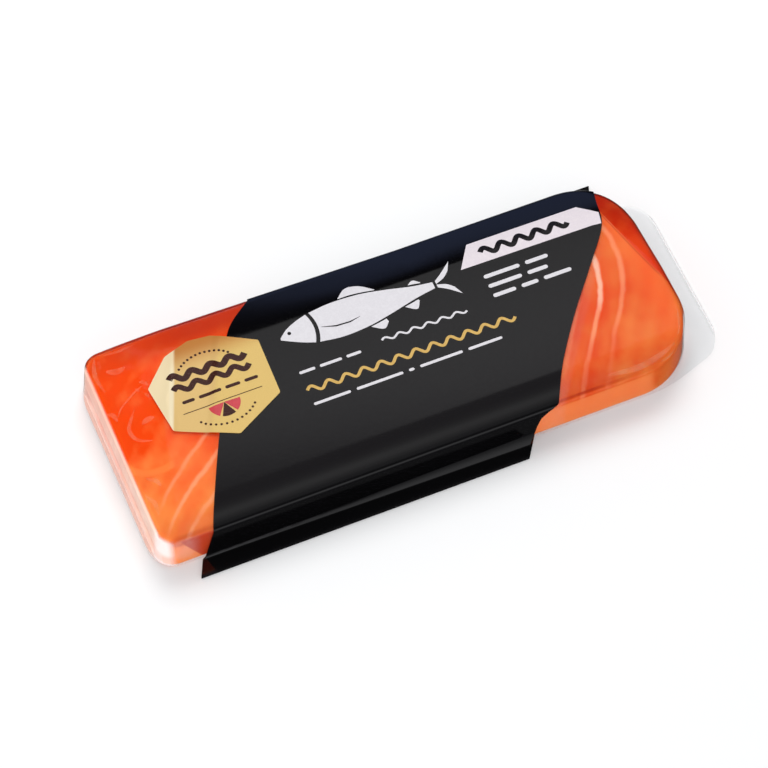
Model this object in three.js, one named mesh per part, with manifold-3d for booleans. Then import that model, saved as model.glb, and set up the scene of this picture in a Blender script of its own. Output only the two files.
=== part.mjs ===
// Pack of salmon fillet: a fish portion in a clear formed pack, banded by a slanted card sleeve.
// Millimetres, +Z up, +X along the pack towards its pull tab, -Y the front long side.
// The origin is the middle of the footprint, on the ground.
import * as THREE from "three";
import { mergeVertices } from "three/addons/utils/BufferGeometryUtils.js";
import Module from "manifold-3d";

const wasm = await Module();
wasm.setup();

// ---- overall sizes ----
const PACK_HALF_LENGTH = 118.5; // clear pack with its pull tab
const FLANGE_HALF_WIDTH = 45; // narrow rim along both long sides
const CARD_HALF_WIDTH = 52.65; // sleeve card out to the edges of its front and back fins
const DOME_TOP = 19.9; // highest point of the clear cover

// ---- stack of thin layers, from the ground up ----
const GAP = 0.25; // clearance between touching layers
const CARD = 0.5; // card under the pack
const BASE_FILM = 0.3; // flat film that closes the pack
const COVER = 0.35; // clear formed cover
const BAND = 0.35; // card band over the pack
const SEAL = 0.2; // gold seal
const BAND_EASE = 0.3; // the band's walls stand off the dome by this much more than its top does
const FILM_Z = CARD + GAP;
const COVER_Z = FILM_Z + BASE_FILM + GAP;

// ---- dome: walls, corners and edges ----
const WALL_FOOT = { left: -117.2, right: 107.5, front: -44.7, back: 44.9 };
const WALL_HEAD = { left: -115.8, right: 106.7, front: -44.4, back: 44.9 };
const CORNER = { frontLeft: 8, frontRight: 27, backRight: 25, backLeft: 7 };
const EDGE_RADIUS = { left: 2.2, right: 3, front: 1.6, back: 2.5 }; // rolled upper edges
const FULL_INSET = { left: 31, right: 15, front: 13, back: 17.2 }; // from the wall to the flat top

// ---- slopes where the fish thins towards the edges ----
const BACK_DROP = 3.4; // deepest fall of the back edge, at its right end
const BACK_DROP_START = -100; // where along X the fall begins
const BACK_DROP_RUN = 115;
const BACK_SLOPE_MIN = 6;
const BACK_SLOPE_MAX = 16.9;
const BACK_BOW = 1.5; // below 2 the slope starts with a slight crease
const FRONT_DROP = 2.9; // the top bows down to the crisp front edge
const FRONT_SLOPE = 12.4;
const LEFT_DROP = 2.2;
const LEFT_SLOPE = 20; // width of the left slope at mid pack
const LEFT_SLOPE_SKEW = 0.3; // it widens towards the back by this much a millimetre
const LEFT_BOW = 1.25; // near 1 is a flat slope with a ridge at its head
const RIGHT_SLOPE = 2.9; // the same at the right end
const RIGHT_SLOPE_SKEW = 0.345;
const RIGHT_SLOPE_MAX = 13;
const RIGHT_FALL = 0.28; // fall over width of the right slope

// ---- flange with the pull tab at the right ----
const TAB_SHOULDER_X = 91;
const TAB_CORNER = [114.6, 37];
const TAB_END_Y = 28.3;

// ---- sleeve, as [x, y] on the flat card and [x, y] of the band's side edges on top ----
const CARD_FRONT_LEFT = -104.2;
const CARD_FRONT_RIGHT = 29.1;
const CARD_BACK_LEFT = -33;
const CARD_BACK_RIGHT = 101.8;
const BAND_LEFT_EDGE = [
  [-95.2, -43.8],
  [-92.5, -37.6],
  [-82.7, -16.2],
  [-69.2, 11.5],
  [-59.2, 33.2],
  [-47, 43.9],
];
const BAND_RIGHT_EDGE = [
  [44.4, -43.8],
  [52.1, -30.1],
  [65.6, -11.3],
  [79.8, 6],
  [92.9, 23.3],
  [95, 33],
  [98, 43.9],
];
// Down the walls the side edges are [x, z].
const BAND_FRONT_LEFT = [
  [-95.2, 17.5],
  [-99.9, 0.7],
];
const BAND_FRONT_RIGHT = [
  [33.5, 0.7],
  [35.2, 8.4],
  [37, 13],
  [40.2, 15.8],
  [44.4, 17.5],
];
const BAND_BACK_LEFT = [
  [-47, 17],
  [-40, 0.7],
];
const BAND_BACK_FOOT_RIGHT = 98.4;
const LAP = 0.3; // overlap of the cuts that shape the band's top and its walls

// ---- gold seal, an uneven heptagon ----
const SEAL_CORNERS = [
  [-96.7, 20.4],
  [-94.4, -0.7],
  [-71.6, -11.4],
  [-51.2, -0.4],
  [-50.4, 24.4],
  [-66.5, 33.6],
  [-75.5, 34.6],
  [-86, 31.2],
];
const SEAL_CENTRE = [-73, 12];
const SEAL_RINGS = 8;
const SEAL_FACET = 3.2; // longest step along its outline
const SEAL_RAMP = [6.5, 2.5]; // it climbs from the film onto the band this far left of its edge

// ---- mesh fineness ----
const CORNER_STEPS = 9;
const SIDE_STEPS = { right: 8, back: 14, left: 6, front: 8 };
const ROLL_STEPS = 4;
const SLOPE_STEPS = 5;

const clamp = THREE.MathUtils.clamp;
const lerp = THREE.MathUtils.lerp;
const smoothstep = THREE.MathUtils.smoothstep;

// Width of the slope along the back edge at x.
function backSlope(x) {
  return lerp(BACK_SLOPE_MIN, BACK_SLOPE_MAX, clamp((x + 115) / 60, 0, 1));
}

// Height of the clear cover over its top, before the upper edge rolls down to the wall.
function topHeight(x, y) {
  const back = clamp((y - WALL_HEAD.back) / backSlope(x) + 1, 0, 1.2);
  const backDrop = BACK_DROP * clamp((x - BACK_DROP_START) / BACK_DROP_RUN, 0, 1);
  const front = clamp((WALL_HEAD.front - y) / FRONT_SLOPE + 1, 0, 1.2);
  const leftWidth = Math.max(LEFT_SLOPE + LEFT_SLOPE_SKEW * y, 6);
  const left = clamp((WALL_HEAD.left - x) / leftWidth + 1, 0, 1.2);
  const rightWidth = clamp(RIGHT_SLOPE + RIGHT_SLOPE_SKEW * y, 2, RIGHT_SLOPE_MAX);
  const right = clamp((x - WALL_HEAD.right) / rightWidth + 1, 0, 1.2);
  const endDrop = LEFT_DROP * left ** LEFT_BOW + RIGHT_FALL * rightWidth * right ** 2;
  return DOME_TOP - backDrop * back ** BACK_BOW - FRONT_DROP * front ** 2 - endDrop;
}

// One closed ring round the dome. wall gives its four sides, inset how far it has come in from
// each, grow how far the whole ring is pushed out.
function ring(wall, inset, grow) {
  const x0 = wall.left + inset.left - grow;
  const x1 = wall.right - inset.right + grow;
  const y0 = wall.front + inset.front - grow;
  const y1 = wall.back - inset.back + grow;
  const quarters = [
    [x1, y0, CORNER.frontRight, inset.right, inset.front, -90, SIDE_STEPS.right],
    [x1, y1, CORNER.backRight, inset.right, inset.back, 0, SIDE_STEPS.back],
    [x0, y1, CORNER.backLeft, inset.left, inset.back, 90, SIDE_STEPS.left],
    [x0, y0, CORNER.frontLeft, inset.left, inset.front, 180, SIDE_STEPS.front],
  ];
  const arcs = quarters.map(([x, y, radius, insetX, insetY, start]) => {
    const rx = Math.max(radius + grow - insetX, 1.5);
    const ry = Math.max(radius + grow - insetY, 1.5);
    const cx = x === x1 ? x1 - rx : x0 + rx;
    const cy = y === y1 ? y1 - ry : y0 + ry;
    return Array.from({ length: CORNER_STEPS + 1 }, (_, i) => {
      const angle = THREE.MathUtils.degToRad(start + (90 * i) / CORNER_STEPS);
      return { x: cx + rx * Math.cos(angle), y: cy + ry * Math.sin(angle), angle };
    });
  });
  const points = [];
  arcs.forEach((arc, q) => {
    points.push(...arc);
    const from = arc[CORNER_STEPS];
    const to = arcs[(q + 1) % 4][0];
    const steps = quarters[q][6];
    for (let i = 1; i < steps; i += 1) {
      const t = i / steps;
      points.push({ x: lerp(from.x, to.x, t), y: lerp(from.y, to.y, t), angle: from.angle });
    }
  });
  return points;
}

// Radius of the rolled upper edge for the side that a ring point faces.
function edgeRadius(angle) {
  const across = Math.cos(angle) ** 2;
  const sideX = Math.cos(angle) > 0 ? EDGE_RADIUS.right : EDGE_RADIUS.left;
  const sideY = Math.sin(angle) > 0 ? EDGE_RADIUS.back : EDGE_RADIUS.front;
  return sideX * across + sideY * (1 - across);
}

function sides(value) {
  return { left: value("left"), right: value("right"), front: value("front"), back: value("back") };
}

// Rings from the foot of the wall over the rolled edge and the slopes to the flat top.
function domeRings(grow, rise, footZ) {
  const none = sides(() => 0);
  const rings = [ring(WALL_FOOT, none, grow).map((p) => [p.x, p.y, footZ])];
  for (let i = 0; i <= ROLL_STEPS; i += 1) {
    const roll = (Math.PI / 2) * (i / ROLL_STEPS);
    const inset = sides((side) => EDGE_RADIUS[side] * (1 - Math.cos(roll)));
    rings.push(
      ring(WALL_HEAD, inset, grow).map((p) => {
        const fall = edgeRadius(p.angle) * (1 - Math.sin(roll));
        return [p.x, p.y, topHeight(p.x, p.y) + rise - fall];
      }),
    );
  }
  for (let i = 1; i <= SLOPE_STEPS; i += 1) {
    const t = i / SLOPE_STEPS;
    const inset = sides((side) => lerp(EDGE_RADIUS[side], FULL_INSET[side], t));
    rings.push(ring(WALL_HEAD, inset, grow).map((p) => [p.x, p.y, topHeight(p.x, p.y) + rise]));
  }
  return rings;
}

function toManifold(positions, triangles) {
  const mesh = new wasm.Mesh({
    numProp: 3,
    vertProperties: new Float32Array(positions.flat()),
    triVerts: new Uint32Array(triangles.flat()),
  });
  return new wasm.Manifold(mesh);
}

function flatCap(points) {
  const outline = points.map(([x, y]) => new THREE.Vector2(x, y));
  return THREE.ShapeUtils.triangulateShape(outline, []);
}

// A closed solid through a stack of rings, capped at both ends.
function ringSolid(rings) {
  const count = rings[0].length;
  const positions = rings.flat();
  const triangles = [];
  for (let k = 0; k + 1 < rings.length; k += 1) {
    for (let j = 0; j < count; j += 1) {
      const a = k * count + j;
      const b = k * count + ((j + 1) % count);
      triangles.push([a, b, b + count]);
      triangles.push([a, b + count, a + count]);
    }
  }
  const last = (rings.length - 1) * count;
  flatCap(rings[0]).forEach(([a, b, c]) => triangles.push([a, c, b]));
  flatCap(rings[rings.length - 1]).forEach(([a, b, c]) => triangles.push([last + a, last + b, last + c]));
  return toManifold(positions, triangles);
}

// The dome pushed out sideways by grow and up by rise, from footZ up.
function dome(grow, rise, footZ) {
  return ringSolid(domeRings(grow, rise, footZ));
}

// A flat plate from a plan outline, between two heights.
function plate(outline, bottom, top) {
  const shape = new THREE.Shape(outline.map(([x, y]) => new THREE.Vector2(x, y)));
  const geometry = new THREE.ExtrudeGeometry(shape, { depth: top - bottom, bevelEnabled: false });
  return fromGeometry(geometry).translate([0, 0, bottom]);
}

// The same, standing: its outline is in X and Z and it reaches from one y to the other.
function standingPlate(outline, fromY, toY) {
  return plate(outline, 0, toY - fromY).rotate([90, 0, 0]).translate([0, toY, 0]);
}

function fromGeometry(geometry) {
  geometry.deleteAttribute("normal");
  geometry.deleteAttribute("uv");
  const merged = mergeVertices(geometry, 1e-4);
  const mesh = new wasm.Mesh({
    numProp: 3,
    vertProperties: new Float32Array(merged.attributes.position.array),
    triVerts: new Uint32Array(merged.index.array),
  });
  return new wasm.Manifold(mesh);
}

function toMesh(name, solid, look) {
  const { numProp, vertProperties, triVerts } = solid.getMesh();
  const geometry = new THREE.BufferGeometry();
  const positions = new Float32Array((vertProperties.length / numProp) * 3);
  for (let i = 0; i < positions.length; i += 1) {
    positions[i] = vertProperties[Math.floor(i / 3) * numProp + (i % 3)];
  }
  geometry.setAttribute("position", new THREE.BufferAttribute(positions, 3));
  geometry.setIndex(new THREE.BufferAttribute(new Uint32Array(triVerts), 1));
  geometry.computeVertexNormals();
  const mesh = new THREE.Mesh(geometry, new THREE.MeshStandardMaterial(look));
  mesh.name = name;
  return mesh;
}

// Polygon with its corners rounded off; each corner is [x, y, reach of the rounding].
function rounded(corners, steps) {
  const points = [];
  corners.forEach(([x, y, reach], i) => {
    const corner = new THREE.Vector2(x, y);
    const towards = (other) => {
      const side = new THREE.Vector2(other[0], other[1]).sub(corner);
      return side.setLength(reach).add(corner);
    };
    const before = towards(corners[(i + corners.length - 1) % corners.length]);
    const after = towards(corners[(i + 1) % corners.length]);
    const bend = new THREE.QuadraticBezierCurve(before, corner, after);
    points.push(...bend.getPoints(steps).map((p) => [p.x, p.y]));
  });
  return points;
}

// ---- clear pack ----
const flangeOutline = rounded(
  [
    [-PACK_HALF_LENGTH, -FLANGE_HALF_WIDTH, 13],
    [TAB_SHOULDER_X, -FLANGE_HALF_WIDTH, 8],
    [TAB_CORNER[0], -TAB_CORNER[1], 5],
    [PACK_HALF_LENGTH, -TAB_END_Y, 3],
    [PACK_HALF_LENGTH, TAB_END_Y, 3],
    [TAB_CORNER[0], TAB_CORNER[1], 5],
    [TAB_SHOULDER_X, FLANGE_HALF_WIDTH, 8],
    [-PACK_HALF_LENGTH, FLANGE_HALF_WIDTH, 13],
  ],
  6,
);
const baseFilm = plate(flangeOutline, FILM_Z, FILM_Z + BASE_FILM);
const flange = plate(flangeOutline, COVER_Z, COVER_Z + COVER);
const cover = dome(0, 0, COVER_Z).add(flange).subtract(dome(-COVER, -COVER, COVER_Z - 1));
const salmon = dome(-COVER - GAP, -COVER - GAP, COVER_Z);

// ---- sleeve ----
const cardOutline = [
  [CARD_FRONT_LEFT, -CARD_HALF_WIDTH],
  [CARD_FRONT_RIGHT, -CARD_HALF_WIDTH],
  [CARD_BACK_RIGHT, CARD_HALF_WIDTH],
  [CARD_BACK_LEFT, CARD_HALF_WIDTH],
];
const sleeveBase = plate(cardOutline, 0, CARD);

function smoothEdge(points, steps) {
  const curve = new THREE.CatmullRomCurve3(points.map(([x, y]) => new THREE.Vector3(x, y, 0)));
  return curve.getPoints(steps).map((p) => [p.x, p.y]);
}

const leftEdge = smoothEdge(BAND_LEFT_EDGE, 20);
const rightEdge = smoothEdge(BAND_RIGHT_EDGE, 20);
const bendY = -BAND_LEFT_EDGE[0][1];
const headZ = DOME_TOP + 10;
const topCut = plate([...rightEdge, ...leftEdge.toReversed()], FILM_Z, headZ);
const frontCut = standingPlate(
  [
    ...BAND_FRONT_RIGHT,
    [BAND_RIGHT_EDGE[0][0], DOME_TOP],
    [BAND_RIGHT_EDGE[0][0], headZ],
    [BAND_LEFT_EDGE[0][0], headZ],
    [BAND_LEFT_EDGE[0][0], DOME_TOP],
    ...BAND_FRONT_LEFT,
  ],
  -CARD_HALF_WIDTH,
  -bendY + LAP,
);
const backLeft = BAND_LEFT_EDGE.at(-1)[0];
const backRight = BAND_RIGHT_EDGE.at(-1)[0];
const backCut = standingPlate(
  [
    [backRight, 0],
    [backRight, headZ],
    [backLeft, headZ],
    ...BAND_BACK_LEFT,
  ],
  bendY - LAP,
  CARD_HALF_WIDTH,
);
// The band clears the flange as well as the dome.
const wallClear = FLANGE_HALF_WIDTH + GAP;
const tunnel = plate(
  [
    [-PACK_HALF_LENGTH, -wallClear],
    [TAB_SHOULDER_X, -wallClear],
    [TAB_CORNER[0], -TAB_CORNER[1] - GAP],
    [PACK_HALF_LENGTH, -TAB_END_Y],
    [PACK_HALF_LENGTH, TAB_END_Y],
    [TAB_CORNER[0], TAB_CORNER[1] + GAP],
    [TAB_SHOULDER_X, wallClear],
    [-PACK_HALF_LENGTH, wallClear],
  ],
  0,
  COVER_Z + COVER + GAP,
);
const frontFin = plate(
  [
    [BAND_FRONT_LEFT[1][0], -bendY],
    [CARD_FRONT_LEFT, -CARD_HALF_WIDTH],
    [CARD_FRONT_RIGHT, -CARD_HALF_WIDTH],
    [BAND_FRONT_RIGHT[0][0], -bendY],
  ],
  FILM_Z,
  FILM_Z + BAND,
);
const backFin = plate(
  [
    [BAND_BACK_LEFT[1][0], bendY],
    [backRight, 38],
    [BAND_BACK_FOOT_RIGHT, bendY],
    [CARD_BACK_RIGHT, CARD_HALF_WIDTH],
    [CARD_BACK_LEFT, CARD_HALF_WIDTH],
  ],
  FILM_Z,
  FILM_Z + BAND,
);
const sleeveCut = topCut.add(frontCut).add(backCut);
const band = dome(GAP + BAND_EASE + BAND, GAP + BAND, FILM_Z)
  .intersect(sleeveCut)
  .add(frontFin)
  .add(backFin)
  .subtract(dome(GAP + BAND_EASE, GAP, 0))
  .subtract(tunnel);

// ---- gold seal ----
// Height of what the seal lies on: the film, then a short climb onto the band.
function sealBed(x, y) {
  const curve = leftEdge.find(([, edgeY]) => edgeY >= y) ?? leftEdge.at(-1);
  const climb = smoothstep(x, curve[0] - SEAL_RAMP[0], curve[0] - SEAL_RAMP[1]);
  return topHeight(x, y) + climb * (GAP + BAND) + GAP;
}

function sealSolid() {
  const outline = rounded(SEAL_CORNERS.map(([x, y]) => [x, y, 0.6]), 1);
  const edge = [];
  outline.forEach((from, i) => {
    const to = outline[(i + 1) % outline.length];
    const steps = Math.max(1, Math.round(Math.hypot(to[0] - from[0], to[1] - from[1]) / SEAL_FACET));
    for (let s = 0; s < steps; s += 1) {
      edge.push([lerp(from[0], to[0], s / steps), lerp(from[1], to[1], s / steps)]);
    }
  });
  const face = (lift) => {
    const points = [[...SEAL_CENTRE, sealBed(...SEAL_CENTRE) + lift]];
    for (let k = 1; k <= SEAL_RINGS; k += 1) {
      edge.forEach(([x, y]) => {
        const px = lerp(SEAL_CENTRE[0], x, k / SEAL_RINGS);
        const py = lerp(SEAL_CENTRE[1], y, k / SEAL_RINGS);
        points.push([px, py, sealBed(px, py) + lift]);
      });
    }
    return points;
  };
  const count = edge.length;
  const under = face(0);
  const half = under.length;
  const triangles = [];
  for (let j = 0; j < count; j += 1) {
    const next = (j + 1) % count;
    triangles.push([half, half + 1 + j, half + 1 + next]);
    triangles.push([0, 1 + next, 1 + j]);
    for (let k = 0; k + 1 < SEAL_RINGS; k += 1) {
      const a = 1 + k * count + j;
      const b = 1 + k * count + next;
      triangles.push([half + a, half + a + count, half + b + count]);
      triangles.push([half + a, half + b + count, half + b]);
      triangles.push([a, b + count, a + count]);
      triangles.push([a, b, b + count]);
    }
    const a = 1 + (SEAL_RINGS - 1) * count + j;
    const b = 1 + (SEAL_RINGS - 1) * count + next;
    triangles.push([a, b, half + b]);
    triangles.push([a, half + b, half + a]);
  }
  return toManifold([...under, ...face(SEAL)], triangles);
}

const pack = new THREE.Group();
pack.add(
  toMesh("salmon_fillet", salmon, { color: 0xe9602a, roughness: 0.35, metalness: 0 }),
  toMesh("clear_cover", cover, { color: 0xf1ece9, roughness: 0.08, metalness: 0, transparent: true, opacity: 0.3 }),
  toMesh("base_film", baseFilm, { color: 0xe6e6ea, roughness: 0.15, metalness: 0 }),
  toMesh("sleeve_band", band, { color: 0x1c1b1e, roughness: 0.22, metalness: 0 }),
  toMesh("sleeve_base", sleeveBase, { color: 0x131316, roughness: 0.3, metalness: 0 }),
  toMesh("gold_seal", sealSolid(), { color: 0xe0bd6c, roughness: 0.35, metalness: 0.3 }),
);

export default pack;
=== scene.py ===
"""Pack of salmon fillet: the fish under its film, the slanted card sleeve, the gold seal and the prints.

Sizes are in millimetres, as in the CAD source, and turned into metres where a mesh is made.
"""

import math

import bpy
import numpy as np
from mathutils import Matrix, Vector


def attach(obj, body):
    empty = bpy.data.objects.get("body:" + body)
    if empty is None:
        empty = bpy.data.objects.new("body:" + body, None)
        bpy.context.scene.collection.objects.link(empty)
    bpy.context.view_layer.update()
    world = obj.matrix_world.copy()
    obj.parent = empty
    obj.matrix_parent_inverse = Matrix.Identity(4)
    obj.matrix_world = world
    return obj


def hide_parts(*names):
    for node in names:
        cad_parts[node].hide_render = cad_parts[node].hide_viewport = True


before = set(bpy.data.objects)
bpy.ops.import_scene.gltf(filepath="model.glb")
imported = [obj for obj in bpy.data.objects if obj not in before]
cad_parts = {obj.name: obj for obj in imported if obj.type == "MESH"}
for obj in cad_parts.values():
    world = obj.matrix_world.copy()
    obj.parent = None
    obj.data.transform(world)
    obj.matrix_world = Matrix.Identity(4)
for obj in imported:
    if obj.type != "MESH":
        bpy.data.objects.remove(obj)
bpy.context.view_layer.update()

MM = 0.001

# ---- sizes shared with the CAD source ----
PACK_HALF_LENGTH = 118.5
FLANGE_HALF_WIDTH = 45.0
CARD_HALF_WIDTH = 52.65
DOME_TOP = 19.9
GAP = 0.25
CARD = 0.5
BASE_FILM = 0.3
COVER = 0.35
BAND = 0.35
FILM_Z = CARD + GAP
COVER_Z = FILM_Z + BASE_FILM + GAP
WALL_FOOT = {"left": -117.2, "right": 107.5, "front": -44.7, "back": 44.9}
WALL_HEAD = {"left": -115.8, "right": 106.7, "front": -44.4, "back": 44.9}
CORNER = {"front_right": 27.0, "back_right": 25.0, "back_left": 7.0, "front_left": 8.0}
EDGE_RADIUS = {"left": 2.2, "right": 3.0, "front": 1.6, "back": 2.5}
FULL_INSET = {"left": 31.0, "right": 15.0, "front": 13.0, "back": 17.2}
BACK_DROP = 3.4
BACK_DROP_START = -100.0
BACK_DROP_RUN = 115.0
BACK_SLOPE_MIN = 6.0
BACK_SLOPE_MAX = 16.9
BACK_BOW = 1.5
FRONT_DROP = 2.9
FRONT_SLOPE = 12.4
LEFT_DROP = 2.2
LEFT_SLOPE = 20.0
LEFT_SLOPE_SKEW = 0.3
LEFT_BOW = 1.25
RIGHT_SLOPE = 2.9
RIGHT_SLOPE_SKEW = 0.345
RIGHT_SLOPE_MAX = 13.0
RIGHT_FALL = 0.28
TAB_SHOULDER_X = 91.0
TAB_CORNER = (114.6, 37.0)
TAB_END_Y = 28.3
CARD_FRONT_LEFT = -104.2
CARD_FRONT_RIGHT = 29.1
CARD_BACK_LEFT = -33.0
CARD_BACK_RIGHT = 101.8
BAND_LEFT_EDGE = [(-95.2, -43.8), (-92.5, -37.6), (-82.7, -16.2), (-69.2, 11.5), (-59.2, 33.2), (-47, 43.9)]
BAND_RIGHT_EDGE = [(44.4, -43.8), (52.1, -30.1), (65.6, -11.3), (79.8, 6), (92.9, 23.3), (95, 33), (98, 43.9)]
BAND_FRONT_LEFT = [(0.7, -99.9), (17.5, -95.2)]  # here and below z, x: down the walls
BAND_FRONT_RIGHT = [(0.7, 33.5), (8.4, 35.2), (13, 37), (15.8, 40.2), (17.5, 44.4)]
BAND_BACK_LEFT = [(0.7, -40), (17, -47)]
BAND_BACK_RIGHT = [(0.7, 98.4), (3.0, 98.0)]
SEAL_CORNERS = [
    (-96.7, 20.4), (-94.4, -0.7), (-71.6, -11.4), (-51.2, -0.4),
    (-50.4, 24.4), (-66.5, 33.6), (-75.5, 34.6), (-86, 31.2),
]
SEAL_CENTRE = (-73.0, 12.0)
SEAL_RAMP = (6.5, 2.5)

# ---- heights of the thin layers on top, over the film ----
SALMON_GROW = -(COVER + GAP)
BAND_THICK = 0.32
BAND_OUT = 0.45
BAND_UP = 0.45
INK = 0.03
SEAL_BED = 0.12
SEAL_THICK = 0.16

# ---- mesh fineness ----
SHARP_FROM = 50
ARC = 20
SIDE = {"right": 44, "back": 176, "left": 60, "front": 176}

SIDES = ("left", "right", "front", "back")


def smooth(v, lo, hi):
    """0 below lo, 1 above hi, smooth between; lo may be the larger."""
    t = np.clip((np.asarray(v, float) - lo) / (hi - lo), 0, 1)
    return t * t * (3 - 2 * t)


def lerp(a, b, t):
    return a + (b - a) * t


def back_slope(x):
    return lerp(BACK_SLOPE_MIN, BACK_SLOPE_MAX, np.clip((x + 115) / 60, 0, 1))


def top_height(x, y):
    """Height of the clear cover over its top, before the edge rolls down to the wall."""
    back = np.clip((y - WALL_HEAD["back"]) / back_slope(x) + 1, 0, 1.2)
    back_drop = BACK_DROP * np.clip((x - BACK_DROP_START) / BACK_DROP_RUN, 0, 1)
    front = np.clip((WALL_HEAD["front"] - y) / FRONT_SLOPE + 1, 0, 1.2)
    left_width = np.maximum(LEFT_SLOPE + LEFT_SLOPE_SKEW * y, 6)
    left = np.clip((WALL_HEAD["left"] - x) / left_width + 1, 0, 1.2)
    right_width = np.clip(RIGHT_SLOPE + RIGHT_SLOPE_SKEW * y, 2, RIGHT_SLOPE_MAX)
    right = np.clip((x - WALL_HEAD["right"]) / right_width + 1, 0, 1.2)
    end_drop = LEFT_DROP * left**LEFT_BOW + RIGHT_FALL * right_width * right**2
    return DOME_TOP - back_drop * back**BACK_BOW - FRONT_DROP * front**2 - end_drop


def edge_radius(angle):
    across = np.cos(angle) ** 2
    side_x = np.where(np.cos(angle) > 0, EDGE_RADIUS["right"], EDGE_RADIUS["left"])
    side_y = np.where(np.sin(angle) > 0, EDGE_RADIUS["back"], EDGE_RADIUS["front"])
    return side_x * across + side_y * (1 - across)


def ring(wall, inset, grow):
    """One closed ring round the dome: x, y and the angle it faces, counter-clockwise from the front right."""
    x0 = wall["left"] + inset["left"] - grow
    x1 = wall["right"] - inset["right"] + grow
    y0 = wall["front"] + inset["front"] - grow
    y1 = wall["back"] - inset["back"] + grow
    quarters = [
        (x1, y0, CORNER["front_right"], inset["right"], inset["front"], -90, SIDE["right"]),
        (x1, y1, CORNER["back_right"], inset["right"], inset["back"], 0, SIDE["back"]),
        (x0, y1, CORNER["back_left"], inset["left"], inset["back"], 90, SIDE["left"]),
        (x0, y0, CORNER["front_left"], inset["left"], inset["front"], 180, SIDE["front"]),
    ]
    arcs = []
    for x, y, radius, inset_x, inset_y, start, _ in quarters:
        rx = max(radius + grow - inset_x, 1.5)
        ry = max(radius + grow - inset_y, 1.5)
        cx = x1 - rx if x == x1 else x0 + rx
        cy = y1 - ry if y == y1 else y0 + ry
        angle = np.radians(start + 90 * np.arange(ARC + 1) / ARC)
        arcs.append(np.stack([cx + rx * np.cos(angle), cy + ry * np.sin(angle), angle], 1))
    rows = []
    for q, arc in enumerate(arcs):
        rows.append(arc)
        start, end = arc[-1], arcs[(q + 1) % 4][0]
        t = np.arange(1, quarters[q][6])[:, None] / quarters[q][6]
        side = lerp(start[None, :], end[None, :], t)
        side[:, 2] = start[2]
        rows.append(side)
    return np.concatenate(rows)


def mid_side(q):
    """Index in a ring of the middle of its right side (q 0) or left side (q 2)."""
    counts = [SIDE["right"], SIDE["back"], SIDE["left"], SIDE["front"]]
    before = sum(ARC + 1 + c - 1 for c in counts[:q])
    return before + ARC + 1 + counts[q] // 2 - 1


def dome_rows(grow, rise, foot_z, wall_rows, roll_rows, slope_rows, inner_rows):
    """Rings of points [x, y, z, angle] from the wall's foot over the rolled edge to the middle of the top."""
    none = {s: 0.0 for s in SIDES}
    rows = []
    foot = ring(WALL_FOOT, none, grow)
    head = ring(WALL_HEAD, none, grow)
    head_z = top_height(head[:, 0], head[:, 1]) + rise - edge_radius(head[:, 2])
    for t in np.linspace(0, 1, wall_rows, endpoint=False):
        xy = lerp(foot[:, :2], head[:, :2], t)
        rows.append(np.column_stack([xy, lerp(foot_z, head_z, t), head[:, 2]]))
    for roll in np.linspace(0, math.pi / 2, roll_rows + 1):
        r = ring(WALL_HEAD, {s: EDGE_RADIUS[s] * (1 - math.cos(roll)) for s in SIDES}, grow)
        fall = edge_radius(r[:, 2]) * (1 - math.sin(roll))
        rows.append(np.column_stack([r[:, :2], top_height(r[:, 0], r[:, 1]) + rise - fall, r[:, 2]]))
    for t in np.linspace(0, 1, slope_rows + 1)[1:]:
        r = ring(WALL_HEAD, {s: lerp(EDGE_RADIUS[s], FULL_INSET[s], t) for s in SIDES}, grow)
        rows.append(np.column_stack([r[:, :2], top_height(r[:, 0], r[:, 1]) + rise, r[:, 2]]))
    reach = (WALL_HEAD["back"] - FULL_INSET["back"] - WALL_HEAD["front"] - FULL_INSET["front"]) / 2 - 1.2
    for t in np.linspace(0, 1, inner_rows + 1)[1:]:
        r = ring(WALL_HEAD, {s: FULL_INSET[s] + reach * t for s in SIDES}, grow)
        rows.append(np.column_stack([r[:, :2], top_height(r[:, 0], r[:, 1]) + rise, r[:, 2]]))
    return rows


def ring_faces(rows, count, first=0):
    faces = []
    for k in range(rows - 1):
        a = first + k * count
        for j in range(count):
            n = (j + 1) % count
            faces.append((a + j, a + n, a + count + n, a + count + j))
    return faces


def cap_faces(first, count, upwards=True):
    """Closes a ring by joining its back half to its front half."""
    right, left = mid_side(0), mid_side(2)
    back = [i % count for i in range(right, left + 1)]
    front = [i % count for i in range(right, left - count - 1, -1)]
    faces = []
    for k in range(len(back) - 1):
        quad = [back[k], back[k + 1], front[k + 1], front[k]]
        quad = [i for n, i in enumerate(quad) if i not in quad[:n]]
        faces.append(tuple(first + i for i in (quad if upwards else quad[::-1])))
    return faces


def make_piece(name, points, faces, material, nodes=()):
    """A mesh piece in metres that rides on the pack and may stand for CAD nodes."""
    mesh = bpy.data.meshes.new(name)
    places = (np.asarray(points, float)[:, :3] * MM).tolist()
    mesh.from_pydata(places, [], [tuple(int(i) for i in face) for face in faces])
    mesh.validate()
    mesh.polygons.foreach_set("use_smooth", [True] * len(mesh.polygons))
    mesh.set_sharp_from_angle(angle=math.radians(SHARP_FROM))
    mesh.update()
    piece = bpy.data.objects.new(name, mesh)
    bpy.context.scene.collection.objects.link(piece)
    mesh.materials.append(material)
    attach(piece, "root")
    if nodes:
        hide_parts(*nodes)
    return piece


def segment_distance(x, y, points):
    """Distance in plan from each x, y to a polyline."""
    best = np.full(np.shape(x), 1e9)
    for (ax, ay), (bx, by) in zip(points[:-1], points[1:]):
        dx, dy = bx - ax, by - ay
        t = np.clip(((x - ax) * dx + (y - ay) * dy) / (dx * dx + dy * dy), 0, 1)
        best = np.minimum(best, np.hypot(x - ax - t * dx, y - ay - t * dy))
    return best


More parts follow.
